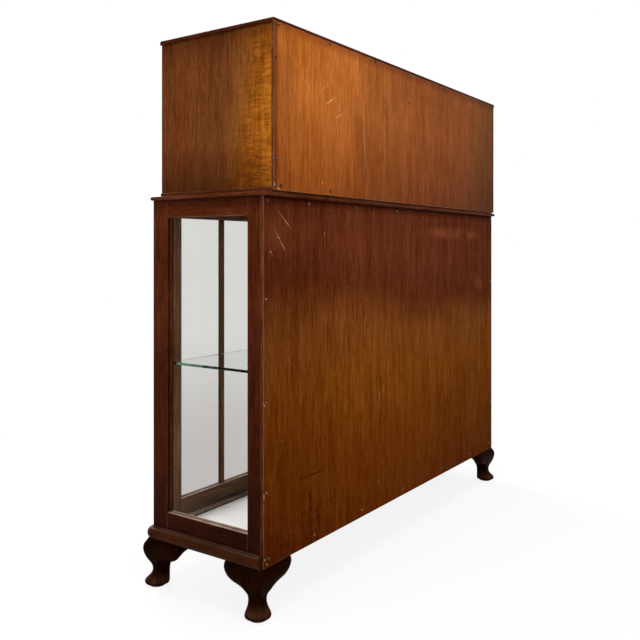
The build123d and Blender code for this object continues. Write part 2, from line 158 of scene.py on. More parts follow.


# Ground tone along the piece, wandering in clouds, with washes along a way; some are painted light and shade
def groundTone(tree, look):
    cloud = drawnNoise(tree, look["cloudMm"], detail=2.0, shift=look["shift"])
    wander = addNode(
        tree, "Math", links={0: cloud}, values={1: 2 * look["clouds"], 2: -look["clouds"]},
        operation="MULTIPLY_ADD",
    )
    toneShare = shareAlong(tree, look["toneWay"], look["toneSpanMm"])
    toneShift = addNode(tree, "Math", links={0: toneShare, 1: wander}, operation="ADD")
    colour = addNode(tree, "ValToRGB", links={0: toneShift}, stops=look["tones"])
    for way, spanMm, stops in look["washes"]:
        wash = addNode(tree, "ValToRGB", links={0: shareAlong(tree, way, spanMm)}, stops=stops)
        colour = addNode(
            tree, "MixRGB", links={1: colour, 2: wash}, values={0: 1.0}, blend_type="MULTIPLY"
        )
    return colour


# Grain, from broad bands down to single fibres
def grainPattern(tree, look):
    grain = None
    for acrossMm, stretch, share in look["layers"]:
        layer = fibreLayer(
            tree, look, acrossMm, acrossMm * stretch, detail=2.0, roughness=0.6, shift=acrossMm
        )
        links = {0: layer} if grain is None else {0: layer, 2: grain}
        grain = addNode(tree, "Math", links=links, values={1: share, 2: 0.0}, operation="MULTIPLY_ADD")
    return grain


# Ripples across the grain of figured wood, fading in along a way
def rippledColour(tree, look, colour):
    for way, spanMm, rippleMm, strength in look["ripples"]:
        ripple = fibreLayer(
            tree, look, rippleMm * look["rippleStretch"], rippleMm, detail=2.0, distortion=1.0
        )
        rippleShade = addNode(tree, "ValToRGB", links={0: ripple}, stops=look["rippleShades"])
        zone = addNode(
            tree, "Math", links={0: shareAlong(tree, way, spanMm)}, values={1: strength}, operation="MULTIPLY"
        )
        colour = addNode(
            tree, "MixRGB", links={0: zone, 1: colour, 2: rippleShade}, blend_type="MULTIPLY"
        )
    return colour


# Rubbed edges, on the faces that the edge rounding made
def rubbedEdges(tree, look):
    rounded = addNode(tree, "Attribute", outlet="Fac", attribute_name="rubbed")
    patches = drawnNoise(tree, [look["rubMm"]] * 3, detail=4.0, roughness=0.7)
    strength = addNode(
        tree, "MapRange", links={"Value": patches},
        values={"From Min": 0.36, "From Max": 0.6, "To Min": 0.2 * look["rubbed"], "To Max": look["rubbed"]},
    )
    return addNode(tree, "Math", links={0: rounded, 1: strength}, operation="MULTIPLY")


# Dust that has settled on faces that look up
def settledDust(tree, look):
    normal = addNode(tree, "NewGeometry", outlet="Normal")
    upward = addNode(
        tree, "VectorMath", links={0: normal}, values={1: (0, 0, 1)}, outlet="Value", operation="DOT_PRODUCT"
    )
    level = addNode(tree, "MapRange", links={"Value": upward}, values={"From Min": 0.8, "From Max": 0.97})
    patches = drawnNoise(tree, [look["dustMm"]] * 3, detail=4.0, roughness=0.65)
    strength = addNode(
        tree, "MapRange", links={"Value": patches},
        values={"From Min": 0.35, "From Max": 0.65, "To Min": 0.3 * look["dust"], "To Max": look["dust"]},
    )
    return addNode(tree, "Math", links={0: level, 1: strength}, operation="MULTIPLY")


# Stained and polished wood. The eye sees short streaks and fibres on a warm ground that shifts in tone, on
# some looks by painted light and shade, dark open pores, an amber gloss from the old polish, paler rubbed
# edges and dust.
def woodFinish(name, look):
    material, tree, shader = newMaterial(name, {
        "Specular IOR Level": look["gloss"],
        "Specular Tint": linear(look["polish"]),
        "Coat Weight": look["coat"],
        "Coat Roughness": look["coatRoughness"],
    })
    grain = grainPattern(tree, look)
    shade = addNode(tree, "ValToRGB", links={0: grain}, stops=look["shades"])
    colour = addNode(
        tree, "MixRGB", links={1: groundTone(tree, look), 2: shade}, values={0: 1.0}, blend_type="MULTIPLY"
    )
    colour = rippledColour(tree, look, colour)

    # what lies over the grain, from the pores up to the dust, with painted sheen bands among the marks
    pore = fibreLayer(tree, look, look["poreMm"], look["poreMm"] * look["poreStretch"], detail=1.0, shift=3.7)
    poreMask = addNode(
        tree, "MapRange", links={"Value": pore},
        values={"From Min": 0.58, "From Max": 0.68, "To Max": look["pores"]},
    )
    speck = drawnNoise(tree, [look["speckMm"]] * 3, detail=1.0, shift=9.1)
    speckMask = addNode(
        tree, "MapRange", links={"Value": speck},
        values={"From Min": 0.71, "From Max": 0.78, "To Max": look["specks"]},
    )
    dustMask = settledDust(tree, look)
    covers = [(poreMask, look["poreColour"]), (speckMask, look["rubbedColour"])]
    for marks, markColour, faceMm, patchMm in look["marks"]:
        covers.append((markMask(tree, marks, faceMm, patchMm), markColour))
    covers += [(rubbedEdges(tree, look), look["rubbedColour"]), (dustMask, look["dustColour"])]
    for mask, coverColour in covers:
        colour = addNode(tree, "MixRGB", links={0: mask, 1: colour}, values={2: linear(coverColour)})
    tree.links.new(colour, shader.inputs["Base Color"])

    # pale fibres are smoother, dust is dull, and pores lie deeper than the grain
    roughLow, roughHigh = look["roughness"]
    dull = addNode(
        tree, "MapRange", links={"Value": grain},
        values={"From Min": 0.38, "From Max": 0.62, "To Min": roughHigh, "To Max": roughLow},
    )
    dulled = addNode(tree, "Math", links={0: dustMask, 2: dull}, values={1: 0.3}, operation="MULTIPLY_ADD")
    tree.links.new(dulled, shader.inputs["Roughness"])
    sunk = addNode(tree, "Math", links={0: poreMask, 2: grain}, values={1: -0.8}, operation="MULTIPLY_ADD")
    bump = addNode(
        tree, "Bump", links={"Height": sunk}, values={"Strength": 0.5, "Distance": look["bumpMm"] / 1000}
    )
    tree.links.new(bump, shader.inputs["Normal"])
    return material


# What every wood here shares, before its own look is laid over it.
# Each grain layer is its width in mm, its length in widths and its share of the pattern. Fibres, pores and
# specks are drawn a few times coarser than real ones, so that they show in a picture of the whole cabinet.
plainWood = {
    "grain": "z", "layers": [(30, 7, 0.26), (6.5, 10, 0.36), (2.4, 9, 0.38)],
    "cloudMm": (220, 220, 220), "clouds": 0.5, "shift": 5.0,
    "toneWay": (0, 0, 1), "toneSpanMm": (-2000, 4000), "washes": [],
    "shades": [(0.4, "#AE977C"), (0.5, "#DDD0BD"), (0.6, "#FFFFFF")],
    "ripples": [], "rippleStretch": 6,
    "rippleShades": [(0.38, "#A88A62"), (0.5, "#E0CCB0"), (0.62, "#FFFFFF")],
    "poreMm": 1.6, "poreStretch": 11, "pores": 0.45, "poreColour": "#1C0A04",
    "speckMm": 4, "specks": 0.3, "marks": [], "dustMm": 60, "dust": 0.25, "dustColour": "#AA9484",
    "gloss": 0.04, "polish": "#FFC890", "coat": 0.0, "coatRoughness": 0.25, "roughness": (0.36, 0.55),
    "bumpMm": 0.12, "rubMm": 40, "rubbed": 0.5, "rubbedColour": "#8A5A36",
}

# The upper back's tone falls off from the near end to the far one, partly the veneer's own fading and partly
# painted sheen. Its washes darken it towards the foot, just under the top and at both upright edges.
upperBackLook = {
    **plainWood,
    "toneWay": (1, 0, 0), "toneSpanMm": (600, -600), "clouds": 0.14, "cloudMm": (150, 150, 260),
    "tones": [
        (0.0, "#AC652D"), (0.1, "#C0702D"), (0.25, "#BE7033"), (0.333, "#A45E2A"), (0.417, "#A4602B"),
        (0.5, "#9A5627"), (0.7, "#904F22"), (0.9, "#7C471E"), (1.0, "#6C3E1A"),
    ],
    "layers": [(26, 8, 0.22), (3.2, 26, 0.4), (1.7, 18, 0.38)],
    "washes": [
        ((1, 0, 0), (588, 570), [(0.0, "#B8A492"), (0.7, "#CCBAA8"), (1.0, "#FFFFFF")]),
        ((1, 0, 0), (-572, -588), [(0.0, "#FFFFFF"), (1.0, "#7A685C")]),
        ((0, 0, 1), (885, 1240), [
            (0.0, "#C6B8AC"), (0.12, "#D2C6BA"), (0.4, "#EEE8E0"), (0.6, "#FFFFFF"), (0.93, "#FFFFFF"),
            (1.0, "#C8BAB0"),
        ]),
    ],
    "shades": [(0.41, "#CCBAA0"), (0.5, "#E6DCCC"), (0.59, "#FFFFFF")],
    "pores": 0.3, "poreColour": "#5E2E12", "rubbed": 0.7, "rubbedColour": "#C08A58",
    "gloss": 0.02, "specks": 0.7,
    "marks": [([
        (401, 1091, 356, 1117, 3.4, 0.85), (363, 1065, 313, 1090, 3.0, 0.65),
        (422, 1116, 372, 1151, 2.6, 0.4), (491, 1145, 454, 1117, 2.6, 0.35),
        (410, 911, 408, 921, 4.0, 0.7), (230, 1207, 227, 888, 3.0, 0.34),
        (132, 1223, 132, 892, 2.4, 0.36), (132, 1106, 132, 1080, 3.4, 0.6),
        (300, 1092, 297, 1070, 2.4, 0.4), (584, 906, 580, 893, 5.0, 0.6), (576, 894, 564, 890, 4.0, 0.5),
    ], "#DDAE7C", 176, 8)],
}
# The lower back's tone along its height is painted reflection: golden in the middle, redder and darker near
# the top. Its first wash is a painted shadow under the mid-board's overhang; the others darken it towards the
# ends.
lowerBackLook = {
    **plainWood,
    "toneWay": (-0.05, 0, 1), "toneSpanMm": (100, 900), "clouds": 0.08, "cloudMm": (300, 300, 160),
    "tones": [
        (0.0, "#622D07"), (0.2, "#723B0A"), (0.45, "#814914"), (0.58, "#824C20"), (0.69, "#65311A"),
        (0.75, "#65321E"), (0.84, "#6D3722"), (1.0, "#683320"),
    ],
    "layers": [(24, 9, 0.24), (4.2, 22, 0.34), (2.2, 16, 0.42)],
    "washes": [
        ((0, 0, 1), (856, 878), [(0.0, "#FFFFFF"), (0.5, "#DCCFC6"), (1.0, "#6A5850")]),
        ((1, 0, 0), (600, -600), [
            (0.0, "#DED6D0"), (0.13, "#E2DAD4"), (0.28, "#FFFFFF"), (0.5, "#FAFAF8"), (0.7, "#F2F2EE"),
            (1.0, "#E2E4E0"),
        ]),
        ((1, 0, 0), (-588, -603), [(0.0, "#FFFFFF"), (1.0, "#7E6C60")]),
    ],
    "shades": [(0.4, "#BCA488"), (0.5, "#E2D6C4"), (0.6, "#FFFFFF")],
    "pores": 0.35, "poreColour": "#2C1006", "rubbed": 0.85, "rubbedColour": "#9A6A4C",
    "gloss": 0.002, "specks": 0.5,
    "marks": [
        ([
            (506, 265, 357, 262, 5.5, 1.0), (438, 240, 434, 150, 17, 0.85), (412, 192, 399, 128, 19, 0.75),
            (552, 139, 500, 134, 12, 0.55), (604, 127, 592, 117, 24, 0.85),
        ], "#260B04", 162, 8),
        ([
            (556, 849, 503, 807, 3.2, 0.8), (571, 815, 522, 755, 3.8, 1.0), (580, 764, 573, 752, 5.0, 1.0),
            (382, 808, 380, 797, 3.4, 0.55), (135, 429, 133, 363, 3.0, 0.55), (112, 425, 112, 395, 3.0, 0.45),
            (274, 244, 274, 240, 5.0, 0.7), (138, 178, 138, 168, 4.0, 0.6), (118, 224, 118, 218, 4.0, 0.5),
            (199, 595, 199, 591, 4.0, 0.5), (602, 264, 599, 250, 6.0, 0.9), (603, 243, 602, 232, 5.0, 0.8),
            (602, 450, 596, 441, 5.0, 0.7), (597, 128, 596, 124, 5.0, 0.7), (592, 117, 590, 114, 5.0, 0.7),
        ], "#B98A6C", 162, 8),
        # broad pale bands: painted sheen where the polish catches the light
        ([
            (-60, 818, -560, 811, 44, 0.5), (-380, 700, -560, 640, 60, 0.25), (600, 800, 450, 800, 130, 0.18),
        ], "#84482A", 162, 90),
    ],
}
# The end's tone, dark at the front and golden towards the rear, is painted sheen. Its washes darken it
# towards the foot and paint a shadow just under the top board.
upperSideLook = {
    **plainWood,
    "toneWay": (0, 1, -0.12), "toneSpanMm": (-280, 50), "clouds": 0.1, "cloudMm": (120, 60, 260),
    "tones": [
        (0.0, "#6A391A"), (0.3, "#744120"), (0.5, "#6C3E1F"), (0.7, "#844F26"), (0.86, "#AC6A1F"),
        (1.0, "#C67F2B"),
    ],
    "washes": [((0, 0, 1), (885, 1240), [
        (0.0, "#C5BDB5"), (0.085, "#C5BDB5"), (0.2, "#DED6D0"), (0.32, "#FFFFFF"), (0.78, "#FFFFFF"),
        (0.87, "#EEE8E2"), (0.97, "#CCC4BC"), (1.0, "#7A6C62"),
    ])],
    "shades": [(0.41, "#CDBBA2"), (0.5, "#E8DECE"), (0.59, "#FFFFFF")],
    "ripples": [((0, 1, -0.12), (-70, -10), 5, 0.6), ((0, 1, 0), (-150, -149), 8, 0.12)],
    "pores": 0.28, "poreColour": "#32160A", "gloss": 0.025,
}
# The frame's washes are painted shade: darker towards the foot, away from the light above, and a painted
# shadow under the mid-board.
frameLook = {
    **plainWood, "tones": [(0.2, "#4C2210"), (0.5, "#5E2C15"), (0.8, "#663219")], "clouds": 0.7,
    "washes": [
        ((0, 0, 1), (120, 880), [(0.0, "#90706A"), (0.35, "#C8B0A8"), (1.0, "#FFFFFF")]),
        ((0, 0, 1), (838, 879), [(0.0, "#FFFFFF"), (0.5, "#D8CAC2"), (1.0, "#84706A")]),
    ],
    "gloss": 0.03, "rubbed": 0.4, "dust": 0.95, "specks": 0.15,
}
# The doors' inner faces are paler and greyer than the frame, partly painted light for the dim inside seen
# through the glass.
doorBackLook = {
    **frameLook, "tones": [(0.2, "#82603F"), (0.5, "#906E50"), (0.8, "#9C7A60")], "washes": [],
}
corniceLook = {
    **plainWood, "tones": [(0.2, "#52291A"), (0.5, "#60321F"), (0.8, "#6E3C26")], "clouds": 0.7,
    "washes": [((0, 0, 1), (1200, 1246), [
        (0.0, "#FFFFFF"), (0.77, "#FFFFFF"), (0.79, "#C4B6AC"), (1.0, "#D0C4BC"),
    ])],
    "gloss": 0.01, "roughness": (0.3, 0.45), "rubbed": 0.6, "rubbedColour": "#8E6248",
    "dust": 0.06, "pores": 0.25,
}
baseLook = {
    **plainWood, "tones": [(0.2, "#34190A"), (0.5, "#3E1F0E"), (0.8, "#482612")], "clouds": 0.7,
    "shades": [(0.38, "#C4B4A0"), (0.5, "#E6DCCE"), (0.62, "#FFFFFF")],
    "gloss": 0.02, "roughness": (0.3, 0.45), "rubbed": 0.6, "rubbedColour": "#644026",
    "dust": 0.1, "pores": 0.1,
}
# The legs' tones are lifted and their washes along the height darken them again, except round the foot, where
# the washes paint a highlight and a pale ring line.
legLook = {
    **plainWood, "tones": [(0.2, "#482E22"), (0.5, "#52372A"), (0.8, "#5C4134")], "clouds": 0.7,
    "washes": [((0, 0, 1), (0, 100), [
        (0.0, "#786A60"), (0.06, "#B8AAA0"), (0.08, "#84746A"), (0.15, "#F0E6DE"), (0.24, "#A89A8E"),
        (0.34, "#6A5040"), (0.55, "#5E4434"), (0.8, "#765A48"), (1.0, "#6A5040"),
    ])],
    "gloss": 0.004, "roughness": (0.26, 0.4), "rubbed": 0.45, "rubbedColour": "#6A4226",
    "dust": 0.1, "specks": 0.15,
}
darkLook = {
    **plainWood, "tones": [(0.2, "#241107"), (0.5, "#2E170A"), (0.8, "#3A1D0D")], "clouds": 0.7,
    "gloss": 0.08, "coat": 0.05, "roughness": (0.26, 0.4), "rubbedColour": "#6A4226", "dust": 0.1,
}
frontLook = {
    **plainWood, "tones": [(0.2, "#682F14"), (0.5, "#82421C"), (0.8, "#925022")], "clouds": 0.7,
    "ripples": [((0, 1, 0), (-400, -399), 11, 0.2)],
    "gloss": 0.1, "coat": 0.04, "roughness": (0.3, 0.45),
}
innerLook = {
    **plainWood, "tones": [(0.2, "#94663C"), (0.5, "#AA7C4C"), (0.8, "#BA8C5A")], "clouds": 0.7,
    "roughness": (0.55, 0.72), "pores": 0.35, "poreColour": "#5C3A1E",
    "rubbed": 0.3, "rubbedColour": "#C49A68",
}
plyEdgeLook = {
    **plainWood, "tones": [(0.2, "#5A3422"), (0.5, "#6A402C"), (0.8, "#784C36")], "clouds": 0.8,
    "washes": [((0, 0, 1), (120, 880), [(0.0, "#C0AA9C"), (1.0, "#FFFFFF")])],
    "layers": [(2.4, 20, 0.7), (0.9, 12, 0.3)], "cloudMm": (40, 40, 40),
    "roughness": (0.5, 0.7), "gloss": 0.03,
}

finishes = {
    "upperBack": woodFinish("stained mahogany ply, upper back", upperBackLook),
    "lowerBack": woodFinish("stained mahogany ply, lower back", lowerBackLook),
    "upperSide": woodFinish("figured mahogany, upper ends", upperSideLook),
}
woodFamilies = {
    "frame": ("stained mahogany frame", frameLook),
    "doorBack": ("stained mahogany, door inside", doorBackLook),
    "cornice": ("stained mahogany moulding", corniceLook),
    "base": ("dark stained mahogany, base", baseLook),
    "leg": ("dark stained mahogany, legs", legLook),
    "dark": ("dark turned mahogany", darkLook),
    "front": ("figured mahogany veneer", frontLook),
    "inner": ("plain sawn hardwood", innerLook),
    "plyEdge": ("sawn ply edge", plyEdgeLook),
}


# A finish by name. A wood family with its grain along one axis is made when it is first asked for.
def finishOf(name):
    if name not in finishes:
        title, look = woodFamilies[name[:-1]]
        axis = name[-1].lower()
        finishes[name] = woodFinish(f"{title}, grain {axis}", {**look, "grain": axis})
    return finishes[name]


# Clear flat glass. Old panes are slightly wavy, carry faint smears and grow greyer towards the foot, with
# little shine left. Lamps shine straight through.
def glassFinish(name, look):
    material, tree, shader = newMaterial(name, {
        "Transmission Weight": 1.0, "IOR": look["ior"], "Specular Tint": (look["shine"],) * 3 + (1,),
    })
    height = shareAlong(tree, (0, 0, 1), look["filmSpanMm"])
    tint = addNode(tree, "ValToRGB", links={0: height}, stops=[(0.0, look["low"]), (1.0, look["high"])])
    tree.links.new(tint, shader.inputs["Base Color"])
    smear = drawnNoise(tree, look["smearMm"], detail=3.0, distortion=1.2)
    dull = addNode(
        tree, "MapRange", links={"Value": smear},
        values={"From Min": 0.45, "From Max": 0.75, "To Min": 0.0, "To Max": look["smear"]},
    )
    tree.links.new(dull, shader.inputs["Roughness"])
    wave = drawnNoise(tree, [look["waveLongMm"]] * 3, detail=0.0)
    bump = addNode(
        tree, "Bump", links={"Height": wave}, values={"Strength": 0.25, "Distance": look["waveMm"] / 1000}
    )
    tree.links.new(bump, shader.inputs["Normal"])
    path = addNode(tree, "LightPath", outlet="Is Shadow Ray")
    lampRays = addNode(
        tree, "Math", links={0: path, 1: path.node.outputs["Is Diffuse Ray"]}, operation="MAXIMUM"
    )
    clear = addNode(tree, "BsdfTransparent", values={"Color": (1, 1, 1, 1)})
    either = addNode(tree, "MixShader", links={0: lampRays, 1: shader.outputs[0], 2: clear})
    tree.links.new(either, tree.get_output_node("ALL").inputs["Surface"])
    return material


paneLook = {
    "low": "#F6F5F3", "high": "#FEFEFC", "filmSpanMm": (300, 560), "smear": 0.03, "smearMm": (160, 60, 90),
    "waveMm": 0.3, "waveLongMm": 120, "ior": 1.2, "shine": 0.0,
}
shelfLook = {**paneLook, "low": "#F0F5F2", "high": "#F0F5F2", "waveMm": 0.1, "ior": 1.14, "shine": 1.0}
finishes["pane"] = glassFinish("clear flat glass, ends", paneLook)
finishes["doorPane"] = glassFinish("clear flat glass, doors", {
    **paneLook, "low": "#C4C1C0", "high": "#D8D8D6",
})
finishes["shelf"] = glassFinish("plate glass", shelfLook)
finishes["shelfEdge"] = glassFinish("plate glass, green edge", {
    **shelfLook, "low": "#6E9A88", "high": "#6E9A88", "smear": 0.3,
})


# Dulled metal: a brushed, spotted surface, darker where the lacquer has gone
metalSetup = {"spotMm": 7, "scuffMm": (0.8, 0.8, 12), "scuffDeepMm": 0.05}


def metalFinish(name, look):
    material, tree, shader = newMaterial(name, {"Metallic": 1.0})
    tarnish = drawnNoise(tree, [metalSetup["spotMm"]] * 3, detail=5.0, roughness=0.7)
    colour = addNode(
        tree, "ValToRGB", links={0: tarnish}, stops=[(0.35, look["dark"]), (0.62, look["bright"])]
    )
    tree.links.new(colour, shader.inputs["Base Color"])
    dull = addNode(
        tree, "MapRange", links={"Value": tarnish},
        values={"From Min": 0.3, "From Max": 0.7, "To Min": 0.55, "To Max": 0.28},
    )
    tree.links.new(dull, shader.inputs["Roughness"])
    scuff = drawnNoise(tree, metalSetup["scuffMm"], detail=2.0)
    bump = addNode(
        tree, "Bump", links={"Height": scuff},
        values={"Strength": 0.3, "Distance": metalSetup["scuffDeepMm"] / 1000},
    )
    tree.links.new(bump, shader.inputs["Normal"])
    return material


finishes["brass"] = metalFinish("dulled brass", {"dark": "#5A4420", "bright": "#B08D4A"})
finishes["bronze"] = metalFinish("dark bronzed steel", {"dark": "#1A100A", "bright": "#6E5440"})
finishes["wornSteel"] = metalFinish("worn steel", {"dark": "#34231A", "bright": "#846A5A"})


# White painted lining board: a faint brush texture, greyer where dust has settled
def paintFinish(name, look):
    material, tree, shader = newMaterial(name, {"Specular IOR Level": 0.2})
    dust = drawnNoise(tree, [look["dustMm"]] * 3, detail=4.0)
    colour = addNode(tree, "ValToRGB", links={0: dust}, stops=[(0.35, look["dusty"]), (0.6, look["clean"])])
    tree.links.new(colour, shader.inputs["Base Color"])
    brush = drawnNoise(tree, look["brushMm"], detail=2.0)
    dull = addNode(tree, "MapRange", links={"Value": brush}, values={"To Min": 0.5, "To Max": 0.7})
    tree.links.new(dull, shader.inputs["Roughness"])
    bump = addNode(
        tree, "Bump", links={"Height": brush},
        values={"Strength": 0.3, "Distance": look["brushDeepMm"] / 1000},
    )
    tree.links.new(bump, shader.inputs["Normal"])
    return material


finishes["lining"] = paintFinish("white painted board", {
    "clean": "#FCFCFA", "dusty": "#F6F6F3", "dustMm": 90, "brushMm": (60, 2, 2), "brushDeepMm": 0.1,
})
print("finishes ready:", len(finishes))


# Mesh helpers, with the edge rounding of each kind of piece in mm
edgeMm = {
    "board": 0.9, "moulding": 0.5, "end": 0.8, "lining": 0.4, "panel": 0.7, "glass": 0.3, "drawer": 0.7,
    "hinge": 0.25, "peg": 0.5,
}
weldMm = 0.01  # points nearer than this are one
flatDeg = 0.5  # faces that meet flatter than this are one


def roundEdges(shape, roundMm, steps=2, minDeg=30, edges=None):
    layer = shape.faces.layers.float.get("rubbed") or shape.faces.layers.float.new("rubbed")
    if edges is None:
        paired = [e for e in shape.edges if len(e.link_faces) == 2]
        edges = [e for e in paired if e.calc_face_angle() > math.radians(minDeg)]
    made = bmesh.ops.bevel(
        shape, geom=edges, offset=roundMm / 1000, offset_type="OFFSET", segments=steps, profile=0.5,
        affect="EDGES", material=-1, clamp_overlap=True,
    )
    for face in made["faces"]:
        face[layer] = 1.0


def boardShape(lowMm, highMm, roundMm):
    shape = bmesh.new()
    bmesh.ops.create_cube(shape, size=1.0)
    low = Vector(lowMm) / 1000
    high = Vector(highMm) / 1000
    bmesh.ops.scale(shape, vec=high - low, verts=shape.verts)
    bmesh.ops.translate(shape, vec=(low + high) / 2, verts=shape.verts)
    if roundMm:
        roundEdges(shape, roundMm)
    return shape


def mirroredX(lowMm, highMm, side):
    spanX = sorted((side * lowMm[0], side * highMm[0]))
    return (spanX[0], *lowMm[1:]), (spanX[1], *highMm[1:])


# A turned piece, from its radius and height profile in mm, standing on a place and pointing along a way
def turnedShape(profileMm, placeMm, way, steps=24):
    shape = bmesh.new()
    ring = [shape.verts.new((radius / 1000, 0, height / 1000)) for radius, height in profileMm]
    edges = [shape.edges.new(pair) for pair in zip(ring, ring[1:])]
    bmesh.ops.spin(
        shape, geom=ring + edges, cent=(0, 0, 0), axis=(0, 0, 1), angle=math.tau, steps=steps, use_merge=True
    )
    bmesh.ops.remove_doubles(shape, verts=shape.verts, dist=weldMm / 1000)
    bmesh.ops.recalc_face_normals(shape, faces=shape.faces)
    turn = Vector(way).to_track_quat("Z", "Y").to_matrix().to_4x4()
    bmesh.ops.transform(shape, matrix=Matrix.Translation(Vector(placeMm) / 1000) @ turn, verts=shape.verts)
    return shape


def copyOf(node):
    shape = bmesh.new()
    shape.from_mesh(frame["nodes"][node].data)
    bmesh.ops.remove_doubles(shape, verts=shape.verts, dist=weldMm / 1000)
    return shape


def flatCopyOf(node):
    shape = copyOf(node)
    bmesh.ops.dissolve_limit(
        shape, angle_limit=math.radians(flatDeg), verts=shape.verts, edges=shape.edges,
        use_dissolve_boundaries=False,
    )
    return shape


# The faces of each separate solid, and the solid's box in mm
def islandsOf(shape):
    islands = []
    seen = set()
    for first in shape.faces:
        if first in seen:
            continue
        seen.add(first)
        faces = [first]
        for face in faces:  # the list grows while it is walked
            near = [other for edge in face.edges for other in edge.link_faces]
            for other in near:
                if other not in seen:
                    seen.add(other)
                    faces.append(other)
        points = [vert.co * 1000 for face in faces for vert in face.verts]
        low = Vector([min(p[i] for p in points) for i in range(3)])
        high = Vector([max(p[i] for p in points) for i in range(3)])
        islands.append((faces, low, high))
    return islands


def gather(shapes):
    whole = bmesh.new()
    whole.faces.layers.float.new("rubbed")
    for number, shape in shapes:
        for face in shape.faces:
            face.material_index = number
        part = bpy.data.meshes.new("part")
        shape.to_mesh(part)
        shape.free()
        whole.from_mesh(part)
        bpy.data.meshes.remove(part)
    return whole


def finishPiece(node, shape, looks, smoothDeg=0):
    words = node.split("_")
    name = words[0] + "".join(word.capitalize() for word in words[1:])
    mesh = bpy.data.meshes.new(name)
    shape.to_mesh(mesh)
    shape.free()
    for look in looks:
        mesh.materials.append(finishOf(look))
    piece = bpy.data.objects.new(name, mesh)
    scene.collection.objects.link(piece)
    if smoothDeg:
        mesh.shade_smooth()
        mesh.set_sharp_from_angle(angle=math.radians(smoothDeg))
        piece.modifiers.new("flatFaces", "WEIGHTED_NORMAL").keep_sharp = True
    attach(piece, bodyOf[node])
    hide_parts(node)


# A copy of a node with softened edges, each of its boards with the grain along its length.
# The faces that look to the front or the rear may have a family of their own. Past the mitre, at the ends
# of a board, the grain follows the end moulding.
def softenedBoards(node, family, frontFamily="", rearFamily="", rounding="board", smoothDeg=0, mitreMm=0):
    shape = flatCopyOf(node)
    for cut in (-mitreMm, mitreMm) if mitreMm else ():
        bmesh.ops.bisect_plane(
            shape, geom=shape.verts[:] + shape.edges[:] + shape.faces[:], plane_co=(cut / 1000, 0, 0),
            plane_no=(1, 0, 0),
        )
    looks = []
    for faces, low, high in islandsOf(shape):
        extent = high - low
        axis = "XYZ"[max(range(3), key=lambda i: extent[i])]
        for face in faces:
            look = family + axis
            if mitreMm and abs(face.calc_center_median().x) * 1000 > mitreMm:
                look = family + "Y"
            if frontFamily and face.normal.y < -0.9:
                look = frontFamily + axis
            if rearFamily and face.normal.y > 0.9:
                look = rearFamily + axis
            if look not in looks:
                looks.append(look)
            face.material_index = looks.index(look)
    roundEdges(shape, edgeMm[rounding])
    finishPiece(node, shape, looks, smoothDeg)


# Carcass and door boards
softenedBoards("upper_divider", "inner", frontFamily="front")
softenedBoards("upper_bottom_board", "inner", frontFamily="front")
softenedBoards("back_rails", "inner")
softenedBoards("door_stop_strip", "frame")
for side in sides:
    for part in ("side_stiles_", "side_rails_"):
        softenedBoards(part + side, "frame")
    for part in ("door_rails_", "door_hinge_stile_", "door_meeting_stile_", "door_glazing_bars_"):
        softenedBoards(part + side, "frame", rearFamily="doorBack")
# each moulded board with its family and the place of its mitres in mm
mouldings = {"base_board": ("base", 602), "mid_board": ("cornice", 586), "upper_top_board": ("cornice", 0)}
for node, (family, mitreMm) in mouldings.items():
    softenedBoards(node, family, rounding="moulding", smoothDeg=40, mitreMm=mitreMm)
for side in sides:
    endShape = flatCopyOf("upper_side_" + side)
    roundEdges(endShape, edgeMm["end"])
    finishPiece("upper_side_" + side, endShape, ["upperSide"])
liningShape = flatCopyOf("floor_lining")
roundEdges(liningShape, edgeMm["lining"])
finishPiece("floor_lining", liningShape, ["lining"])
print("boards ready")


# Back panels: a stained rear face, sawn ply edges and a plain inner face
for node, looks in (
    ("upper_back_panel", ("upperBack", "plyEdgeX", "plyEdgeZ", "innerZ")),
    ("lower_back_panel", ("lowerBack", "plyEdgeX", "plyEdgeZ", "frameZ")),
):
    panelShape = flatCopyOf(node)
    for face in panelShape.faces:
        normal = face.normal
        if abs(normal.y) > 0.5:
            face.material_index = 0 if normal.y > 0 else 3
        else:
            face.material_index = 1 if abs(normal.z) > 0.5 else 2
    roundEdges(panelShape, edgeMm["panel"])
    finishPiece(node, panelShape, looks)
print("back panels ready")


# Legs
for node in [name for name in frame["nodes"] if name.startswith("leg_")]:
    finishPiece(node, copyOf(node), ["legZ"], smoothDeg=38)
print("legs ready")


# Glass
for node in [name for name in frame["nodes"] if "glass" in name and "beads" not in name]:
    glassShape = flatCopyOf(node)
    roundEdges(glassShape, edgeMm["glass"])
    if node == "glass_shelf":
        for face in glassShape.faces:
            face.material_index = 0 if abs(face.normal.z) > 0.9 else 1
        finishPiece(node, glassShape, ["shelf", "shelfEdge"])
    else:
        finishPiece(node, glassShape, ["doorPane" if node.startswith("door") else "pane"])
print("glass ready")


# Beads that hold the end panes
beadSetup = {"x": (580, 589), "y": (-125, 127), "z": (164, 846), "size": 8, "roundMm": 2.2}

beadShapes = []
for side in sides.values():
    (x0, x1), (y0, y1), (z0, z1) = beadSetup["x"], beadSetup["y"], beadSetup["z"]
    size = beadSetup["size"]
    for number, low, high in (
        (1, (x0, y0, z0 + size), (x1, y0 + size, z1 - size)),
        (1, (x0, y1 - size, z0 + size), (x1, y1, z1 - size)),
        (0, (x0, y0 + size, z0), (x1, y1 - size, z0 + size)),
        (0, (x0, y0 + size, z1 - size), (x1, y1 - size, z1)),
    ):
        beadShapes.append((number, boardShape(*mirroredX(low, high, side), beadSetup["roundMm"])))
finishPiece("side_glass_beads", gather(beadShapes), ["frameY", "frameZ"])
print("beads ready")


# Rails and runners between the drawers
railSetup = {
    "x": (8, 569.5), "front": -152, "depth": 40, "rear": 169.5, "floor": 911, "thick": 12, "runner": 22,
    "rowHeight": 289 / 3,  # three rows share what the rails leave
}


def rowFloor(row):
    return railSetup["floor"] + row * (railSetup["rowHeight"] + railSetup["thick"])


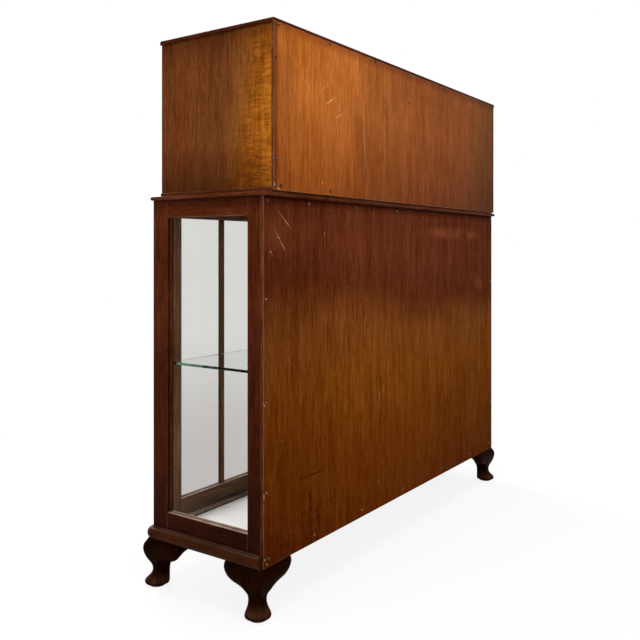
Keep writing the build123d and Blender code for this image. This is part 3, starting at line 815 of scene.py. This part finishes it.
railShapes = []
for side in sides.values():
    for row in range(len(rows)):
        z0 = rowFloor(row) + railSetup["rowHeight"]
        z1 = z0 + railSetup["thick"]
        x0, x1 = railSetup["x"]
        railRear = railSetup["front"] + railSetup["depth"]
        boards = [(0, (x0, railSetup["front"], z0), (x1, railRear, z1))]
        if row < len(rows) - 1:  # no drawer runs on the top rail
            boards.append((1, (x0, railRear, z0), (x0 + railSetup["runner"], railSetup["rear"], z1)))
            boards.append((1, (x1 - railSetup["runner"], railRear, z0), (x1, railSetup["rear"], z1)))
        for number, low, high in boards:
            railShapes.append((number, boardShape(*mirroredX(low, high, side), edgeMm["drawer"])))
finishPiece("drawer_rails", gather(railShapes), ["frontX", "innerY"])
print("rails ready")


# Drawer boxes: dovetailed sides, a back and a bottom
boxSetup = {
    "x": (10, 567.5), "y": (-134, 140), "thick": 10, "tall": 80, "lift": 0.3,
    "bottomRise": 8, "bottomThick": 5,
    "pinLong": 10, "pinNarrow": 3, "pinWide": 5.5, "pinProud": 0.12, "pins": (14, 40, 66),
}


# An end-grain pin of a dovetail, narrow at the board's end, seen on the outside of a drawer side
def pinShape(outerMm, side, endMm, rootMm, heightMm):
    x0, x1 = sorted((outerMm - side, outerMm + side * boxSetup["pinProud"]))
    y0, y1 = sorted((endMm, rootMm))
    narrow = boxSetup["pinNarrow"]
    wide = boxSetup["pinWide"]
    shape = boardShape((x0, y0, heightMm - wide), (x1, y1, heightMm + wide), 0)
    ends = [vert for vert in shape.verts if abs(vert.co.y * 1000 - endMm) < 0.1]
    bmesh.ops.scale(
        shape, vec=(1, 1, narrow / wide), space=Matrix.Translation((0, 0, -heightMm / 1000)), verts=ends
    )
    return shape


for sideName, side in sides.items():
    for row, rowName in enumerate(rows):
        floorZ = rowFloor(row)
        x0, x1 = boxSetup["x"]
        y0, y1 = boxSetup["y"]
        thick = boxSetup["thick"]
        z0 = floorZ + boxSetup["lift"]
        z1 = z0 + boxSetup["tall"]
        bottom0 = floorZ + boxSetup["bottomRise"]
        bottom1 = bottom0 + boxSetup["bottomThick"]
        boxShapes = []
        for number, low, high in (
            (0, (x0, y0, z0), (x0 + thick, y1, z1)),
            (0, (x1 - thick, y0, z0), (x1, y1, z1)),
            (1, (x0 + thick, y1 - thick, bottom1), (x1 - thick, y1, z1)),
            (1, (x0 + thick / 2, y0 - thick / 2, bottom0), (x1 - thick / 2, y1, bottom1)),
        ):
            boxShapes.append((number, boardShape(*mirroredX(low, high, side), edgeMm["drawer"])))
        for outer, way in ((x0, -1), (x1, 1)):
            for pin in boxSetup["pins"]:
                frontPin = (y0, y0 + boxSetup["pinLong"])
                rearPin = (y1, y1 - boxSetup["pinLong"])
                boxShapes.append((2, pinShape(side * outer, side * way, *frontPin, z0 + pin)))
                boxShapes.append((1, pinShape(side * outer, side * way, *rearPin, z0 + pin)))
        finishPiece(f"drawer_{sideName}_{rowName}_box", gather(boxShapes), ["innerY", "innerX", "frontX"])
print("drawer boxes ready")


# Drawer fronts with a scratched bead line round the face
frontSetup = {
    "x": (9, 568.5), "y": (-152, -134), "gap": 1.0, "roundMm": 2.0,
    "lineInset": 8.0, "lineWidth": 1.4, "lineDepth": 1.0,
}

for sideName, side in sides.items():
    for row, rowName in enumerate(rows):
        floorZ = rowFloor(row)
        (x0, x1), (y0, y1) = frontSetup["x"], frontSetup["y"]
        z0 = floorZ + frontSetup["gap"]
        z1 = floorZ + railSetup["rowHeight"] - frontSetup["gap"]
        frontShape = boardShape(*mirroredX((x0, y0, z0), (x1, y1, z1), side), 0)
        face = min(frontShape.faces, key=lambda f: f.normal.y)
        roundEdges(frontShape, frontSetup["roundMm"], steps=3, edges=face.edges[:])
        face = min(frontShape.faces, key=lambda f: (round(f.normal.y, 3), -f.calc_area()))
        for inset, depth in (
            (frontSetup["lineInset"], 0.0),
            (frontSetup["lineWidth"], -frontSetup["lineDepth"]),
            (frontSetup["lineWidth"], frontSetup["lineDepth"]),
        ):
            bmesh.ops.inset_region(
                frontShape, faces=[face], thickness=inset / 1000, depth=depth / 1000, use_even_offset=True
            )
        finishPiece(f"drawer_{sideName}_{rowName}_front", frontShape, ["frontX"], smoothDeg=25)
print("drawer fronts ready")


# Turned knobs on drawers and doors
knobSetup = {
    "lengthMm": 19, "profile": [
        (0, -17), (4.8, -17), (4.8, 0.1), (8.6, 0.1), (9.0, 0.5), (9.0, 1.4), (8.5, 2.0), (7.4, 2.3),
        (6.8, 3.2), (6.5, 4.4), (6.8, 5.8), (7.8, 7.4), (9.6, 9.0), (11.6, 10.2), (12.6, 11.2), (13.0, 12.4),
        (12.8, 13.7), (12.0, 15.2), (10.4, 16.8), (8.6, 17.9), (8.2, 18.3), (7.4, 18.3), (7.0, 17.9),
        (5.6, 18.5), (3.0, 18.9), (0, 19.0),
    ],
}

for node in [name for name in frame["nodes"] if "knob" in name]:
    knobShapes = []
    for faces, low, high in islandsOf(copyOf(node)):
        place = ((low.x + high.x) / 2, low.y + knobSetup["lengthMm"], (low.z + high.z) / 2)
        knobShapes.append((0, turnedShape(knobSetup["profile"], place, (0, -1, 0), steps=32)))
    finishPiece(node, gather(knobShapes), ["darkY"], smoothDeg=40)
print("knobs ready")


# Round-headed screws in the back panels, slotted, each in a thin dark ring
screwSetup = {
    "headTall": 2.5, "slotHalf": 0.4, "slotFloor": 1.1, "slotWall": 0.04,
    "turnStepDeg": 37, "upperCaseZ": 880,
    "profile": [
        (0, -18), (1.3, -18), (1.3, 0), (2.95, 0), (2.95, 0.5), (2.7, 1.3), (2.1, 1.95), (1.2, 2.35),
        (0, 2.5),
    ],
    "ring": [(0, 0.12), (3.6, 0.12), (4.2, -0.05)],
}


# A dome parted by a slot: points near the slot line are pushed down to its floor
def slottedHead(placeMm, way, turnDeg):
    shape = turnedShape(screwSetup["profile"], (0, 0, 0), (0, 0, 1), steps=20)
    floorZ = screwSetup["slotFloor"] / 1000
    half = screwSetup["slotHalf"] / 1000
    wall = screwSetup["slotWall"] / 1000
    for offset in (-half, half):
        for shift in (-wall, wall):
            bmesh.ops.bisect_plane(
                shape, geom=shape.verts[:] + shape.edges[:] + shape.faces[:], plane_co=(offset + shift, 0, 0),
                plane_no=(1, 0, 0),
            )
    for vert in shape.verts:
        if abs(vert.co.x) < half and vert.co.z > floorZ:
            vert.co.z = floorZ
    turn = Vector(way).to_track_quat("Z", "Y").to_matrix().to_4x4()
    spin = Matrix.Rotation(math.radians(turnDeg), 4, "Z")
    bmesh.ops.transform(
        shape, matrix=Matrix.Translation(Vector(placeMm) / 1000) @ turn @ spin, verts=shape.verts
    )
    return shape


screwShapes = []
for count, (faces, low, high) in enumerate(islandsOf(copyOf("back_screws"))):
    place = ((low.x + high.x) / 2, high.y - screwSetup["headTall"], (low.z + high.z) / 2)
    metal = 0 if low.z > screwSetup["upperCaseZ"] else 2
    screwShapes.append((metal, slottedHead(place, (0, 1, 0), screwSetup["turnStepDeg"] * count)))
    screwShapes.append((1, turnedShape(screwSetup["ring"], place, (0, 1, 0), steps=20)))
finishPiece("back_screws", gather(screwShapes), ["bronze", "darkY", "wornSteel"], smoothDeg=35)
print("screws ready")


# Hinges, with countersunk screws in the leaves, and shelf pegs
hingeSetup = {
    "screwRise": (-20, 0, 20), "screwIn": 12, "front": -162, "carcassFace": 580, "doorFace": 578.5,
    "screw": [(0, -1), (2.6, -1), (2.6, 0.02), (2.45, 0.12), (0.6, 0.12), (0.45, -0.1), (0, -0.1)],
}

for node, face, way in (
    ("carcass_hinge_leaves", hingeSetup["carcassFace"], -1),
    ("door_hinge_leaves_left", hingeSetup["doorFace"], 1),
    ("door_hinge_leaves_right", hingeSetup["doorFace"], 1),
):
    leaves = flatCopyOf(node)
    leafBoxes = [(low, high) for faces, low, high in islandsOf(leaves)]
    roundEdges(leaves, edgeMm["hinge"], minDeg=60)
    hingeShapes = [(0, leaves)]
    for low, high in leafBoxes:
        side = 1 if low.x > 0 else -1
        for rise in hingeSetup["screwRise"]:
            place = (side * face, hingeSetup["front"] + hingeSetup["screwIn"], (low.z + high.z) / 2 + rise)
            hingeShapes.append((0, turnedShape(hingeSetup["screw"], place, (side * way, 0, 0), steps=16)))
    finishPiece(node, gather(hingeShapes), ["brass"], smoothDeg=30)
pegShape = flatCopyOf("shelf_pegs")
roundEdges(pegShape, edgeMm["peg"], minDeg=60)
finishPiece("shelf_pegs", pegShape, ["brass"], smoothDeg=30)
print("hinges and pegs ready")


# Stage: a floor that fades to white, white surroundings, soft lamps
def whiteRays(tree):
    path = addNode(tree, "LightPath", outlet="Is Camera Ray")
    rays = addNode(tree, "Math", links={0: path, 1: path.node.outputs["Is Glossy Ray"]}, operation="MAXIMUM")
    return addNode(
        tree, "Math", links={0: rays, 1: path.node.outputs["Is Transmission Ray"]}, operation="MAXIMUM"
    )


stageSetup = {
    "floorM": 30.0, "floorColour": "#E6E5E2", "shadowShare": 0.14, "fadeM": (0.75, 1.7), "surroundLevel": 0.4,
}

world = bpy.data.worlds.new("white room")
scene.world = world
world.use_nodes = True
roomTree = world.node_tree
roomTree.nodes.clear()
roomLevel = addNode(
    roomTree, "MapRange", links={"Value": whiteRays(roomTree)},
    values={"To Min": stageSetup["surroundLevel"], "To Max": 1.0},
)
room = addNode(roomTree, "Background", values={"Color": (1, 1, 1, 1)}, links={"Strength": roomLevel})
addNode(roomTree, "OutputWorld", links={"Surface": room})

floorShape = bmesh.new()
bmesh.ops.create_grid(floorShape, x_segments=1, y_segments=1, size=stageSetup["floorM"] / 2)
floorMesh = bpy.data.meshes.new("floor")
floorShape.to_mesh(floorMesh)
floorShape.free()
floor = bpy.data.objects.new("floor", floorMesh)
scene.collection.objects.link(floor)
floorFinish, floorTree, floorShader = newMaterial("pale floor", {
    "Base Color": linear(stageSetup["floorColour"]), "Roughness": 0.8, "Specular IOR Level": 0.1,
})
floorPlace = addNode(floorTree, "TexCoord", outlet="Object")
floorReach = addNode(floorTree, "VectorMath", links={0: floorPlace}, outlet="Value", operation="LENGTH")
floorFade = addNode(
    floorTree, "MapRange", links={"Value": floorReach}, interpolation_type="SMOOTHSTEP",
    values={
        "From Min": stageSetup["fadeM"][0], "From Max": stageSetup["fadeM"][1],
        "To Min": 1 - stageSetup["shadowShare"], "To Max": 1.0,
    },
)
floorGlow = addNode(floorTree, "Emission", values={"Color": (1, 1, 1, 1), "Strength": 1.0})
seenShare = addNode(floorTree, "Math", links={0: whiteRays(floorTree), 1: floorFade}, operation="MULTIPLY")
floorMix = addNode(floorTree, "MixShader", links={0: seenShare, 1: floorShader.outputs[0], 2: floorGlow})
floorTree.links.new(floorMix, floorTree.get_output_node("ALL").inputs["Surface"])
floorMesh.materials.append(floorFinish)

lamps = {
    "topSoftbox": {"place": (0.3, 0.5, 3.6), "aim": (0.0, 0.1, 0.6), "sizeM": 2.6, "watts": 90},
    "rearSoftbox": {"place": (1.2, 3.6, 2.8), "aim": (0.1, 0.1, 0.7), "sizeM": 2.4, "watts": 60},
    "sideSoftbox": {"place": (3.6, -0.8, 2.4), "aim": (0.4, 0.0, 0.6), "sizeM": 2.2, "watts": 52},
    "frontSoftbox": {"place": (-1.4, -3.6, 2.8), "aim": (0.0, 0.0, 0.6), "sizeM": 2.6, "watts": 190},
}
for name, lamp in lamps.items():
    lampData = bpy.data.lights.new(name, "AREA")
    lampData.size = lamp["sizeM"]
    lampData.energy = lamp["watts"]
    lampObject = bpy.data.objects.new(name, lampData)
    scene.collection.objects.link(lampObject)
    lampObject.location = lamp["place"]
    aim = Vector(lamp["aim"]) - Vector(lamp["place"])
    lampObject.rotation_euler = aim.to_track_quat("-Z", "Y").to_euler()

scene.view_settings.view_transform = "Standard"
print("stage ready")
